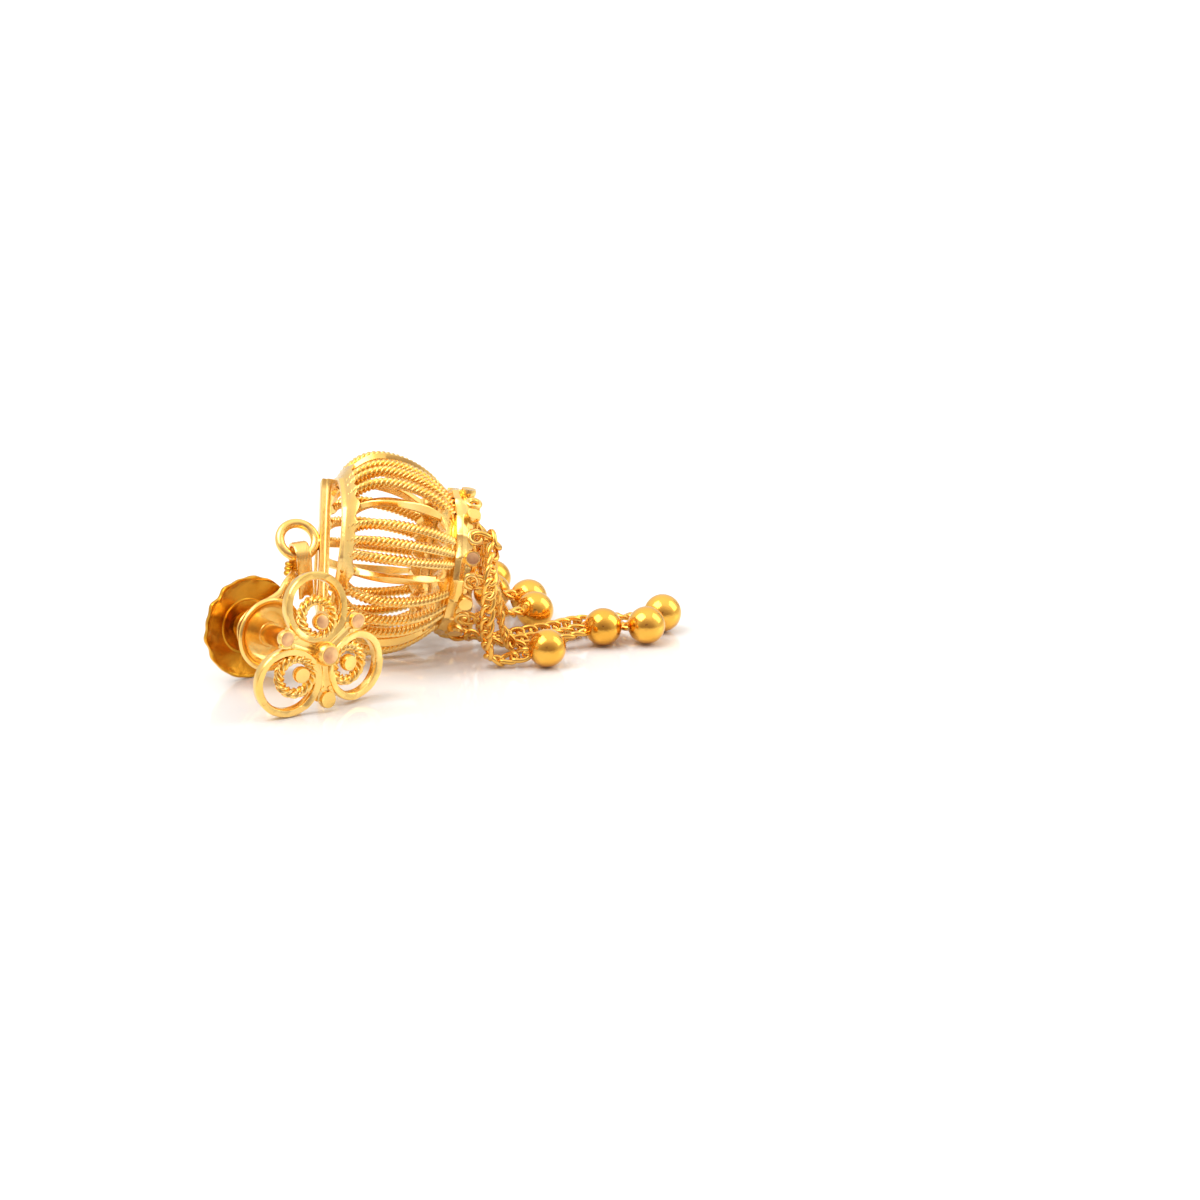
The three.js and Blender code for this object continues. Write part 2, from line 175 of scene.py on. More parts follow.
CUT_FACE_SHARE = 0.86
WEB_THICK = 0.5
WEB_HALF = 0.75
WEB_BEAD = 0.2
SLEEVE_END = 2.9
POST_R = 0.8
TUBE_R = 1.0
TUBE_LENGTH = 10.1
BORE_R = 0.6
BORE_DEPTH = 6.1
PIN_GAP = 0.05
PIN_LENGTH = 5.2
FACE_GAP = 0.3
CUP_R = 2.82
CUP_TO_END = 2.77
CUP_DEPTH = 1.2
CUP_WALL = 0.35
CUP_LIP = 0.27
DISC_R = 4.02
DISC_DISH = 0.65
DISC_WALL = 0.28
DISC_WAVES_AT = 2.6
DISC_WAVES_FROM = 3.2
DISC_WAVE = 0.13
DISC_WARP = 0.05
CUP_RIM = TUBE_LENGTH - CUP_TO_END
BOSS_R = 1.15
BOSS_HEIGHT = 0.45

# Bail
STRAP_WIDTH = 1.2
STRAP_THICK = 0.26
STRAP_INNER = 0.95
STRAP_FRONT = 3.1
STRAP_SWING = 10
STRAP_TURN = 21
STRAP_LEAN = 2
STRAP_GROOVE = 0.04
STRAP_LINES = 2.6
STRAP_LINES_DRIFT = 1.5
STRAP_NOTCH = 0.42
STRAP_NOTCH_HALF = 0.62
BAIL_WIRE = 0.27
COLLAR_R = 0.54
COLLAR_BUMPS = 3
COLLAR = np.array([-24.3, -13.35, 6.4])
COLLAR_TOP = np.array([-24.15, -13.2, 7.4])
# The loop's points in the stud's frame, with the last number counted out from the tube's end
LOOP_POINTS = [
    (4.7, 3.25, -1.0),
    (3.1, 3.15, 0.55),
    (2.2, 2.5, 0.85),
    (-0.55, 1.55, 0.85),
    (-1.53, 0.56, 0.8),
    (-1.41, -0.81, 0.8),
    (-0.28, -1.6, 0.8),
    (1.05, -1.25, 0.75),
    (2.9, 2.1, 0.45),
    (3.75, 2.95, 0.25),
    (5.1, 2.85, -1.2),
]

# Chains and balls
BALL_R = 1.5
BALL_NECK = 0.3
EYE_R = 0.22
EYE_WIRE = 0.085
LINK_GAP = 0.3
LOOP_GAP = 0.8
INSIDE_GAP = 0.5
LINK_WIRE = 0.205
LINK_LONG = 0.76
LINK_WIDE = 0.42
LINK_TWIST = 0.65
LINK_PITCH = 1.06
LINK_SIDES = 10
LINK_STEPS = 28
LINK_ROLL = 35
LINK_ROLL_STEP = 17
LINK_ROLL_SPREAD = 24
LINK_SEED = 31
# How square a link's long and short sides are: 1 is round, less is squarer
LINK_SQUARE = (0.9, 0.8)
# Whether a chain starts inside its loop, the points on its way, and its ball's place on the floor
ROUTES = [
    (True, [(-9.6, -8.3, 8.5), (-9.2, -7.8, 6.3), (-8.6, -6.9, 4.0), (-8.0, -5.9, 2.4)], (-5.75, -4.0)),
    (True, [(-8.95, -12.1, 8.0), (-8.6, -11.8, 5.5), (-8.2, -11.0, 3.4), (-7.6, -9.7, 2.0)], (-5.2, -7.2)),
    (False,
     [(-8.5, -17.5, 7.4), (-8.75, -17.9, 4.5), (-8.8, -17.5, 1.9), (-8.3, -17.0, 0.7), (-6.8, -16.9, 0.75)],
     (-4.14, -16.76)),
    (False,
     [(-8.0, -15.7, 4.4), (-7.5, -15.2, 2.2), (-6.6, -14.5, 0.85), (-3.8, -13.1, 0.75)],
     (0.24, -11.46)),
    (False,
     [(-9.0, -14.7, 1.7), (-7.6, -13.3, 0.8), (-4.5, -11.7, 0.7), (-1.4, -9.6, 0.7), (0.8, -9.1, 0.8)],
     (3.68, -11.03)),
    (False,
     [(-9.8, -12.0, 0.75), (-7.2, -10.9, 0.7), (-4.4, -9.75, 0.7), (-1.5, -7.6, 0.7), (1.8, -7.2, 0.9)],
     (4.99, -7.9)),
    (False, [(-10.9, -8.9, 0.65), (-11.6, -6.6, 0.6), (-12.9, -3.5, 0.6), (-13.2, 0.0, 0.6)], (-13.4, 3.7)),
    (False,
     [(-10.9, -6.0, 2.5), (-10.8, -4.6, 1.0), (-11.6, -2.0, 0.6), (-11.7, 1.5, 0.6), (-11.1, 3.6, 0.7)],
     (-10.3, 6.6)),
    (False, [(-10.8, -4.5, 4.6), (-10.95, -3.0, 2.6), (-10.7, -1.0, 1.5)], (-8.75, 1.15)),
    (True, [(-9.6, -5.0, 7.2), (-9.35, -4.6, 5.2), (-9.3, -3.9, 4.0)], (-8.72, -2.51)),
]

# Camera
CAMERA_RISE = 18
CAMERA_FAR = 430
CAMERA_LENS = 158.7

# Brightness and colour of the tent on the camera's side and elsewhere, and its brightness by height
TENT_FRONT = 0.46
TENT_BACK = 1.0
TENT_LOW = 0.8
TENT_HIGH = 1.4
TENT_WARM = (1.0, 0.67, 0.66)
TENT_WHITE = (1.0, 0.985, 0.96)

# Light panels: size, place in metres, and power
KEY_LIGHT = ((0.5, 0.4), (-0.3, -0.12, 0.55), 2.4)
FILL_LIGHT = ((0.35, 0.5), (0.5, 0.05, 0.35), 1.0)
# Cards: size, place, what they face, and colour
CAMERA_CARD = ((90, 70), (0, -440, 150), (-12, -10, 4), (0.14, 0.07, 0.12))
BACK_CARD = ((22, 220), (267, 291, 90), (0, 0, 20), (0.02, 0.02, 0.02))
FLOOR_WHITE = (0.82, 0.815, 0.81)
FLOOR_GLOSS = 0.08

# Golds: how far the deeper tone spreads, the range of the polish, and the depth of the surface's dents
PATCH_SPREAD = (0.35, 0.75)
POLISH_RANGE = (0.7, 1.5)
DENT = 0.0002


def unit(v):
    return v / np.linalg.norm(v)


def turn_x(degrees):
    c, s = math.cos(math.radians(degrees)), math.sin(math.radians(degrees))
    return np.array([[1, 0, 0], [0, c, -s], [0, s, c]])


def turn_y(degrees):
    c, s = math.cos(math.radians(degrees)), math.sin(math.radians(degrees))
    return np.array([[c, 0, s], [0, 1, 0], [-s, 0, c]])


def turn_z(degrees):
    c, s = math.cos(math.radians(degrees)), math.sin(math.radians(degrees))
    return np.array([[c, -s, 0], [s, c, 0], [0, 0, 1]])


def bell_frame():
    """Columns: along the axis to the mouth, towards the camera, and down."""
    turn, dip = math.radians(BELL_TURN), math.radians(BELL_DIP)
    along = np.array([math.cos(dip) * math.cos(turn), math.cos(dip) * math.sin(turn), -math.sin(dip)])
    side = np.array([math.sin(turn), -math.cos(turn), 0])
    basis = np.column_stack([along, side, np.cross(along, side)])
    return basis @ turn_x(-BELL_ROLL)


def stud_frame():
    """Columns: right, up, and out of the stud's face."""
    turn, lean = math.radians(STUD_TURN), math.radians(STUD_LEAN)
    out = np.array([math.cos(lean) * math.sin(turn), -math.cos(lean) * math.cos(turn), math.sin(lean)])
    right = unit(np.cross([0, 0, 1], out))
    return np.column_stack([right, np.cross(out, right), out])


BELL = bell_frame()
STUD = stud_frame()


class Shape:
    """Corners and faces, gathered part by part."""

    def __init__(self):
        self.corners = []
        self.faces = []
        self.count = 0

    def add(self, corners, faces):
        self.corners.append(np.asarray(corners, float))
        self.faces.extend([tuple(i + self.count for i in face) for face in faces])
        self.count += len(corners)

    def place(self, basis=np.eye(3), centre=(0, 0, 0)):
        """The same shape, turned and moved."""
        placed = Shape()
        placed.add(np.concatenate(self.corners) @ np.asarray(basis).T + np.asarray(centre), self.faces)
        return placed

    def take(self, *others):
        for other in others:
            self.add(np.concatenate(other.corners), other.faces)
        return self


def grid_faces(rows, columns, closed_rows, closed_columns):
    """The quads between the corners of a grid."""
    faces = []
    for i in range(rows if closed_rows else rows - 1):
        for j in range(columns if closed_columns else columns - 1):
            a, b = i, (i + 1) % rows
            c, d = j, (j + 1) % columns
            faces.append((a * columns + c, a * columns + d, b * columns + d, b * columns + c))
    return faces


def end_caps(rows, columns):
    """The two faces that close a grid's first and last row."""
    last = rows * columns - 1
    return [tuple(range(columns)), tuple(range(last, last - columns, -1))]


def spline(points, steps):
    """A centripetal Catmull-Rom curve at even distances, as the solids' tubes follow."""
    p = [np.asarray(q, float) for q in points]
    p = [2 * p[0] - p[1], *p, 2 * p[-1] - p[-2]]
    dense = []
    for a, b, c, d in zip(p, p[1:], p[2:], p[3:]):
        t = [0.0]
        for m, n in ((a, b), (b, c), (c, d)):
            t.append(t[-1] + max(np.linalg.norm(n - m), 1e-6) ** 0.5)
        for u in np.linspace(t[1], t[2], 24, endpoint=False):
            a1 = (t[1] - u) / (t[1] - t[0]) * a + (u - t[0]) / (t[1] - t[0]) * b
            a2 = (t[2] - u) / (t[2] - t[1]) * b + (u - t[1]) / (t[2] - t[1]) * c
            a3 = (t[3] - u) / (t[3] - t[2]) * c + (u - t[2]) / (t[3] - t[2]) * d
            b1 = (t[2] - u) / (t[2] - t[0]) * a1 + (u - t[0]) / (t[2] - t[0]) * a2
            b2 = (t[3] - u) / (t[3] - t[1]) * a2 + (u - t[1]) / (t[3] - t[1]) * a3
            dense.append((t[2] - u) / (t[2] - t[1]) * b1 + (u - t[1]) / (t[2] - t[1]) * b2)
    dense.append(p[-2])
    return even(np.array(dense), steps)


def run_along(line):
    """How far along a line each of its points lies."""
    return np.concatenate([[0], np.cumsum(np.linalg.norm(np.diff(line, axis=0), axis=1))])


def even(line, steps):
    """The same line with points at even distances."""
    run = run_along(line)
    at = np.linspace(0, run[-1], steps + 1)
    return np.column_stack([np.interp(at, run, line[:, k]) for k in range(3)])


def length_of(line):
    return float(np.linalg.norm(np.diff(line, axis=0), axis=1).sum())


def carried_frames(line, closed=False, first=None):
    """A sideways and a crosswise direction at each point of a line, turned as little as possible."""
    ahead = np.roll(line, -1, axis=0) - np.roll(line, 1, axis=0)
    if not closed:
        ahead[0] = line[1] - line[0]
        ahead[-1] = line[-1] - line[-2]
    ahead /= np.linalg.norm(ahead, axis=1)[:, None]
    side = first
    if side is None:
        side = np.array([0.1, 0.2, 1.0]) if abs(ahead[0][2]) < 0.9 else np.array([1.0, 0.1, 0])
    sides = []
    for way in ahead:
        side = unit(side - way * side.dot(way))
        sides.append(side)
    sides = np.array(sides)
    return ahead, sides, np.cross(ahead, sides)


def tube(line, radius, sides=12, closed=False, first=None, lobes=0, lay=1.0, depth=0.0):
    """A wire along a line. With lobes it is a twisted one, and its columns of corners follow the twist."""
    _, across, up = carried_frames(line, closed, first)
    count = len(line)
    run = run_along(line)
    if closed:
        whole = run[-1] * count / (count - 1)
        run = whole * np.arange(count) / count
        lay = whole / max(1, round(whole / lay))
    angle = np.linspace(0, 2 * math.pi, sides, endpoint=False)
    section = 1 - depth * (1 - np.abs(np.cos(lobes * angle / 2)))
    radius = np.broadcast_to(np.asarray(radius, float), (count,))
    corners = np.zeros((count, sides, 3))
    for i in range(count):
        turned_by = angle - (2 * math.pi * run[i] / lay if lobes else 0.0)
        reach = radius[i] * section
        sideways = np.outer(reach * np.cos(turned_by), across[i])
        upwards = np.outer(reach * np.sin(turned_by), up[i])
        corners[i] = line[i] + sideways + upwards
    shape = Shape()
    faces = grid_faces(count, sides, closed, True)
    if not closed:
        faces += end_caps(count, sides)
    shape.add(corners.reshape(-1, 3), faces)
    return shape


def turned(section, sides, closed=True, wave=None):
    """A ring about +Z from [radius, height] pairs. wave changes the radius and height by angle."""
    section = np.asarray(section, float)
    angle = np.linspace(0, 2 * math.pi, sides, endpoint=False)
    corners = np.zeros((sides, len(section), 3))
    for i, a in enumerate(angle):
        r, h = section[:, 0].copy(), section[:, 1].copy()
        if wave:
            r, h = wave(a, r, h)
        corners[i] = np.column_stack([r * math.cos(a), r * math.sin(a), h])
    shape = Shape()
    shape.add(corners.reshape(-1, 3), grid_faces(sides, len(section), True, closed))
    return shape


def rounded(section, cut, steps=3):
    """A closed outline with each corner rounded by an arc that starts a distance cut from it."""
    section = [np.asarray(p, float) for p in section]
    out = []
    for before, corner, after in zip(section[-1:] + section[:-1], section, section[1:] + section[:1]):
        back, on = before - corner, after - corner
        a = corner + back * min(cut / np.linalg.norm(back), 0.45)
        b = corner + on * min(cut / np.linalg.norm(on), 0.45)
        for k in range(steps + 1):
            t = k / steps
            out.append((1 - t) ** 2 * a + 2 * t * (1 - t) * corner + t * t * b)
    return out


def circle(radius, steps):
    a = np.linspace(0, 2 * math.pi, steps, endpoint=False)
    return np.column_stack([radius * np.cos(a), radius * np.sin(a), 0 * a])


def bead(radius, sides=24, cut=0.45):
    """A granule with a flat cut face towards +Z, and a fine bright edge round the cut."""
    top = math.acos(cut)
    arc = np.linspace(math.pi, top + 0.09, 14)
    section = [(radius * math.sin(a), radius * math.cos(a)) for a in arc]
    edge = radius * math.sin(top + 0.03)
    section += [(edge, radius * (cut + 0.015)), (edge * 0.93, radius * cut), (0.0, radius * (cut + 0.01))]
    return turned(section, sides, closed=False)


def cut_face(radius, cut):
    """The flat of a granule's cut, as a thin disc on it, that carries painted dark reflections."""
    reach = CUT_FACE_SHARE * radius * math.sin(math.acos(cut))
    low, high = radius * cut - 0.03, radius * cut + 0.03
    section = [(0, low), (reach, low), (reach, high - 0.01), (reach - 0.03, high), (0, high)]
    return turned(section, 28, closed=False)


def bell_raw(s):
    """The bell's radius at a distance from the belly, from the two curves that meet there."""
    top = BELL_R - (BELL_R - TOP_R) * np.clip(-s / TO_TOP, 0, None) ** TOP_CURVE
    low = BELL_R - (BELL_R - MOUTH_R) * np.clip(s / TO_MOUTH, 0, None) ** MOUTH_CURVE
    return np.where(s < 0, top, low)


def bell_outline(s):
    """The bell's radius at a distance from the belly, smoothed so that the belly is round."""
    s = np.asarray(s, float)
    near = np.linspace(-BELLY_SMOOTH, BELLY_SMOOTH, 13)
    return np.mean([bell_raw(s + off) for off in near], axis=0) + BELLY_LIFT


def rib_turns():
    """Every rib's angle round the bell, flat ones and ropes apart."""
    flats, ropes = [], []
    for (flat, parts), (after, _) in zip(RIBS, RIBS[1:] + [(RIBS[0][0] + 360, ())]):
        flats.append(flat)
        ropes.extend(flat + share * (after - flat) for share in parts)
    return flats, ropes


FLATS, ROPES = rib_turns()


def around(turn):
    """Turns a shape about the bell's axis, in the bell's frame."""
    return turn_x(turn)


def rope_rib(turn, index):
    """A twisted rib. Near the top it dives under the rim's plate."""
    s = np.linspace(-TO_TOP + ROPE_START, TO_MOUTH + RIB_OVERLAP, 60)
    sink = ROPE_SINK / (1 + np.exp((s + TO_TOP - SINK_AT) / SINK_SPAN))
    line = even(np.column_stack([s, bell_outline(s) - ROPE_R - sink, 0 * s]), 100)
    to_mouth = 1 - np.linspace(0, 1, len(line))
    radius = ROPE_R * (ROPE_FULL + ROPE_FLARE * np.exp(-(to_mouth / 0.05) ** 2))
    first = np.array([0.0, math.cos(index), math.sin(index)])
    shape = tube(line, radius, 24, first=first, lobes=STRANDS, lay=ROPE_LAY, depth=ROPE_DEPTH)
    return shape.place(around(turn))


def flat_half(turn, share, end):
    """Half a flat rib's width, by its share of the way to the mouth and its distance from the nearer end."""
    flare = FLAT_FLARE * math.exp(-(max(end, 0) / FLARE_SPAN) ** 2)
    waist = WAIST * math.exp(-((share - WAIST_AT) / WAIST_SPAN) ** 2)
    half = FLAT_WIDTH / 2 * (FLAT_LEAST + FLAT_SWELL * math.sin(math.pi * share) ** 2 + flare - waist)
    return half * NARROW_SHARE if turn == NARROW_FLAT else half


def flat_rib(turn, index):
    """A flat rib with a diamond-cut ridge that wanders over its face. It flares where it meets the rims."""
    count = 44
    s = np.linspace(-TO_TOP - RIB_OVERLAP, TO_MOUTH + RIB_OVERLAP, count)
    outer = bell_outline(s)
    slope = np.gradient(outer, s)
    sections = []
    for i in range(count):
        share = i / (count - 1)
        half = flat_half(turn, share, min(s[i] + TO_TOP, TO_MOUTH - s[i]))
        ridge = 0.45 * half * math.cos(2.2 * math.pi * share + 1.7 * index)
        fall = FLAT_FALL * math.sin(math.pi * min(1, max(0, share * 1.1 - 0.05))) ** 0.5
        normal = unit(np.array([-slope[i], 1.0, 0]))
        outside = np.array([s[i], outer[i], 0])
        section = [
            (-half, -0.08 - fall), (ridge - 0.13 * half, 0.0), (ridge + 0.13 * half, 0.0),
            (half, -0.08 - fall), (half * 0.96, -FLAT_THICK + 0.08), (half * 0.8, -FLAT_THICK),
            (-half * 0.8, -FLAT_THICK), (-half * 0.96, -FLAT_THICK + 0.08),
        ]
        sections.append([outside + normal * h + np.array([0, 0, w]) for w, h in section])
    return loft(sections).place(around(turn))


def near_rib(angle):
    """How near an angle round the bell is to a rib: 1 on it, 0 between two."""
    best = 0.0
    for turn, width in [(t, FLAT_SPREAD) for t in FLATS] + [(t, ROPE_SPREAD) for t in ROPES]:
        off = (angle - turn + 180) % 360 - 180
        best = max(best, math.exp(-(off / width) ** 2))
    return best


def cut_depth(angle, flats, start):
    """How deep a ring is cut at an angle in degrees: 0 between two of its flats, 1 in the middle of one."""
    span = 360 / flats
    off = math.radians((angle - start) % span - span / 2)
    edge = math.cos(math.radians(span / 2))
    return (1 - edge / math.cos(off)) / (1 - edge)


def bell_ring(section_at, sides):
    """A ring about the bell's axis whose section changes with the angle."""
    corners = []
    for turn in np.linspace(0, 360, sides, endpoint=False):
        section = np.asarray(section_at(turn), float)
        c, s = math.cos(math.radians(turn)), math.sin(math.radians(turn))
        corners.append(np.column_stack([section[:, 0], section[:, 1] * c, section[:, 1] * s]))
    corners = np.array(corners)
    shape = Shape()
    shape.add(corners.reshape(-1, 3), grid_faces(sides, corners.shape[1], True, True))
    return shape


def top_rim():
    """The ring at the top, with a wide plate that runs out over the ribs."""
    end = -TO_TOP - TOP_RIM / 3

    def section(turn):
        inner = end + TOP_RIM + PLATE_MORE + SCALLOP * near_rib(turn)
        r = float(bell_outline(inner))
        facet = FACET_DEPTH * cut_depth(turn, RIM_FACETS, RIM_FACETS_FROM)
        return rounded([
            (end, TOP_R - RIM_WALL),
            (end, TOP_R - 0.06 - facet),
            (end + 0.3, TOP_R + 0.04 - facet * 0.7),
            (end + 0.55, float(bell_outline(end + 0.62)) - 0.04),
            (inner - 0.08, r + 0.02),
            (inner + 0.03, r - 0.16),
            (inner, r - RIM_WALL - 0.1),
        ], 0.09, 2)

    return bell_ring(section, 288)


def mouth_rim():
    """The ring at the mouth: a neck that runs out over the ribs, a groove, and a band of leaning facets."""
    groove = TO_MOUTH + NECK / 4

    def neck(turn):
        start = TO_MOUTH - NECK - 0.05 - NECK_SCALLOP * near_rib(turn)
        r = float(bell_outline(start))
        return rounded([
            (start, MOUTH_R - RIM_WALL + 0.1),
            (start, r - 0.08),
            (TO_MOUTH - 0.12, MOUTH_R + 0.03),
            (TO_MOUTH + 0.02, MOUTH_R - 0.02),
            (groove + 0.04, MOUTH_R - NECK_GROOVE),
            (groove + 0.3, MOUTH_R - NECK_GROOVE),
            (groove + 0.3, MOUTH_R - RIM_WALL + 0.1),
        ], 0.07, 2)

    def band(turn):
        facet = FACET_DEPTH * cut_depth(turn, BAND_FACETS, GRANULE_TURN)
        way = math.copysign(1, math.sin(math.radians(turn * 10 + 40)))
        lean = BAND_LEAN * way * (0.6 + 0.4 * math.sin(math.radians(turn * 3)))
        return rounded([
            (groove + 0.05, MOUTH_R - RIM_WALL + 0.1),
            (groove + 0.05, MOUTH_R + BAND_STEP - facet + lean - 0.12),
            (groove + 0.5, MOUTH_R + BAND_STEP - 0.5 * facet),
            (BAND_END - 0.2, MOUTH_R + BAND_STEP - facet - lean - 0.1),
            (BAND_END, MOUTH_R + 0.18),
            (BAND_END, MOUTH_R - RIM_WALL + 0.1),
        ], 0.05, 2)

    sides = 320
    return Shape().take(bell_ring(neck, sides), bell_ring(band, sides))


def loft(sections):
    """Joins a row of outlines that have the same number of corners, and closes its ends."""
    rows, columns = len(sections), len(sections[0])
    shape = Shape()
    shape.add(np.concatenate(sections), grid_faces(rows, columns, False, True) + end_caps(rows, columns))
    return shape


def crossbar():
    """The bar over the top opening: a ridge along each side, and feet that spread into the rim."""
    sections = []
    reach = TOP_R - 0.1
    for y in np.linspace(-reach, reach, 40):
        end = reach - abs(y)
        half = BAR_WIDTH / 2 * (1 + 0.35 * math.exp(-(end / 0.35) ** 2))
        foot = BAR_FOOT + 0.12 * math.exp(-(end / 0.4) ** 2)
        outline = rounded([
            (foot, -half), (BAR_TOP + BAR_SIDE, -half), (BAR_TOP + BAR_SIDE - 0.06, -half + 0.1),
            (BAR_TOP + 0.05, -half + 0.06), (BAR_TOP, -half + 0.22), (BAR_TOP, half - 0.22),
            (BAR_TOP + 0.05, half - 0.06), (BAR_TOP + BAR_SIDE - 0.06, half - 0.1),
            (BAR_TOP + BAR_SIDE, half), (foot, half),
        ], 0.05, 2)
        sections.append(np.array([(x, y, z) for x, z in outline]))
    return loft(sections).place(around(BAR_TURN))


def hanging_ring():
    """The ring on the crossbar that the strap hangs in, with a seam of solder at its foot."""
    shape = tube(circle(RING_R, 72), RING_WIRE * RING_FULL, 20, closed=True)
    shape = shape.place(centre=(RING_AT, -RING_SHIFT, 0))
    seam = circle(RING_WIRE * 0.9, 20) @ turn_y(90).T + np.array([BAR_TOP - 0.02, -RING_SHIFT, 0])
    return shape.take(tube(seam, RING_SOLDER_WIRE, 8, closed=True)).place(around(BAR_TURN))


def granule_cut(i):
    """How high up the granule of a station is cut."""
    return GRANULE_CUT + GRANULE_CUT_SPREAD * math.sin(i * 2.3)


def on_band(shape, i):
    """Moves what belongs to a granule onto the band, at a station."""
    placed = shape.place(turn_x(-90), (BAND_END + 0.4 * GRANULE_R, GRANULE_AT, 0))
    return placed.place(around(GRANULE_TURN + STATION_STEP * i))


def stations():
    """A cut granule between two small ones, and a chain loop, at each station round the mouth."""
    small = bead(SMALL_GRANULE, 14).place(turn_x(-90), (BAND_END + 0.02, MOUTH_R + 0.02, 0))
    loop = tube(circle(LOOP_R, 26), LOOP_WIRE, 12, closed=True).place(turn_x(90), (LOOP_AT, LOOP_OUT, 0))
    shape = Shape()
    for i in range(STATIONS):
        turn = GRANULE_TURN + STATION_STEP * i
        shape.take(on_band(bead(GRANULE_R, 26, granule_cut(i)), i))
        shape.take(small.place(around(turn + SMALL_TURN)), small.place(around(turn - SMALL_TURN)))
        shape.take(loop.place(around(turn - 90)))
    return shape


def bell_cuts():
    """The cut faces of some of the granules round the mouth, with painted dark reflections."""
    shape = Shape()
    for i in CUT_STATIONS:
        shape.take(on_band(cut_face(GRANULE_R, granule_cut(i)), i))
    return shape.place(BELL, BELL_CENTRE)


def bell_shape():
    shape = Shape()
    for i, turn in enumerate(FLATS):
        shape.take(flat_rib(turn, i))
    for i, turn in enumerate(ROPES):
        shape.take(rope_rib(turn, i))
    shape.take(top_rim(), mouth_rim(), crossbar(), hanging_ring(), stations())
    return shape.place(BELL, BELL_CENTRE)


def on_petal(shape, k, inward, forward=0.0):
    """Moves a shape to a petal's place."""
    turn = STUD_ROLL + 90 + 120 * k
    moved = shape.place(centre=(PETAL_SPREAD - inward, 0, forward))
    return moved.place(turn_z(turn) @ turn_y(PETAL_DOMING))


def on_notch(shape, k):
    """Turns a shape about the stud's middle to the notch between two petals."""
    return shape.place(turn_z(STUD_ROLL + 150 + 120 * k))


def petal(k):
    """A petal ring with a wide cut face, a coarse rope ring inside it, and a granule in that."""
    inner, outer, half = PETAL_R - PETAL_BAND, PETAL_R, PETAL_THICK / 2
    section = rounded([
        (inner + 0.03, -half), (outer - 0.03, -half), (outer, 0.55 * half), (outer - 0.07, half),
        (inner + 0.1, half), (inner, 0.5 * half),
    ], 0.02, 2)
    middle = (inner + outer) / 2

    def cut(a, r, h):
        facet = math.floor(a / PETAL_FACET) * 2.1 + k
        tilt = 0.16 * math.sin(facet) + 0.12
        return r, h + np.where(h > 0, tilt * (r - middle) + 0.02 * math.sin(5 * a + k), 0)

    ring = turned(section, 120, wave=cut)
    rope = tube(
        circle(TWIST_R, 160), TWIST_WIRE * TWIST_FULL, 24, closed=True,
        lobes=STRANDS, lay=TWIST_LAY, depth=TWIST_DEPTH,
    )
    grain = bead(PETAL_GRANULE, 30, PETAL_GRANULE_CUT)
    shape = Shape().take(on_petal(ring, k, 0), on_petal(rope, k, TWIST_SHIFT, TWIST_OUT))
    return shape.take(on_petal(grain, k, PETAL_GRANULE_SHIFT, PETAL_GRANULE_OUT))


def web_arm(k):
    """A waisted arm from the centre out to a notch granule, grooved down its face."""
    sections = []
    for x in np.linspace(0.2, NOTCH_SPREAD, 14):
        share = x / NOTCH_SPREAD
        half = WEB_HALF - 0.2 * math.sin(math.pi * share) + 0.1 * share
        outline = rounded([
            (-half, -WEB_THICK), (half, -WEB_THICK), (half, -0.06), (0.5 * half, 0.05),
            (0.18 * half, -0.05), (-0.18 * half, -0.05), (-0.5 * half, 0.05), (-half, -0.06),
        ], 0.05, 2)
        sections.append(np.array([(x, y, z) for y, z in outline]))
    arm = loft(sections).take(bead(NOTCH_GRANULE, 26, NOTCH_GRANULE_CUT).place(centre=(NOTCH_SPREAD, 0, 0)))
    for side in (-1, 1):
        arm.take(bead(WEB_BEAD, 12).place(centre=(NOTCH_SPREAD - 0.85, side * 0.33, 0.02)))
    return on_notch(arm, k)


def back(section):
    """Heights counted back from the stud's face become heights in its frame."""
    return [(r, -h) for r, h in section]


def cup():
    """The cup on the tube, open towards the stud's face, with a rolled lip."""
    floor = CUP_RIM + CUP_DEPTH
    rim = [
        (CUP_R - 0.17 + CUP_LIP * math.cos(a), CUP_RIM + CUP_LIP * math.sin(a))
        for a in np.linspace(math.pi, -0.35 * math.pi, 10)
    ]
    inside = [
        (TUBE_R - 0.2, floor - CUP_WALL), (1.3, floor - CUP_WALL - 0.02), (1.75, floor - 1.15 * CUP_WALL),
        (2.1, floor - 1.7 * CUP_WALL), (2.36, floor - 2.5 * CUP_WALL),
    ]
    outside = [
        (2.72, CUP_RIM + 0.34), (2.45, floor - 0.35), (2.0, floor - 0.05),
        (1.5, floor + 0.07), (TUBE_R - 0.2, floor + 0.1),
    ]
    return turned(back(inside + rim + outside), 96)


def post():
    """The post and its tube, with a sleeve behind the face and the bore open at the back."""
    bore_end = TUBE_LENGTH - BORE_DEPTH
    section = [
        (0, -0.2), (TUBE_R, -0.2), (TUBE_R, SLEEVE_END), (TUBE_R - 0.04, SLEEVE_END + 0.06),
        (POST_R, SLEEVE_END + 0.08), (POST_R, CUP_RIM), (TUBE_R - 0.03, CUP_RIM + 0.02),
        (TUBE_R, CUP_RIM + 0.06), (TUBE_R, TUBE_LENGTH - 0.06), (TUBE_R - 0.06, TUBE_LENGTH),
        (BORE_R + 0.03, TUBE_LENGTH), (BORE_R, TUBE_LENGTH - 0.03), (BORE_R, bore_end), (0, bore_end),
    ]
    return turned(back(section), 48, closed=False)


def stud_shape():
    shape = Shape()
    for k in range(3):
        shape.take(petal(k), web_arm(k))
    shape.take(bead(CENTRE_BALL, 40, CENTRE_BALL_CUT).place(centre=(0, 0, CENTRE_BALL / 2)))
    shape.take(post(), cup())
    return shape.place(STUD, STUD_CENTRE)


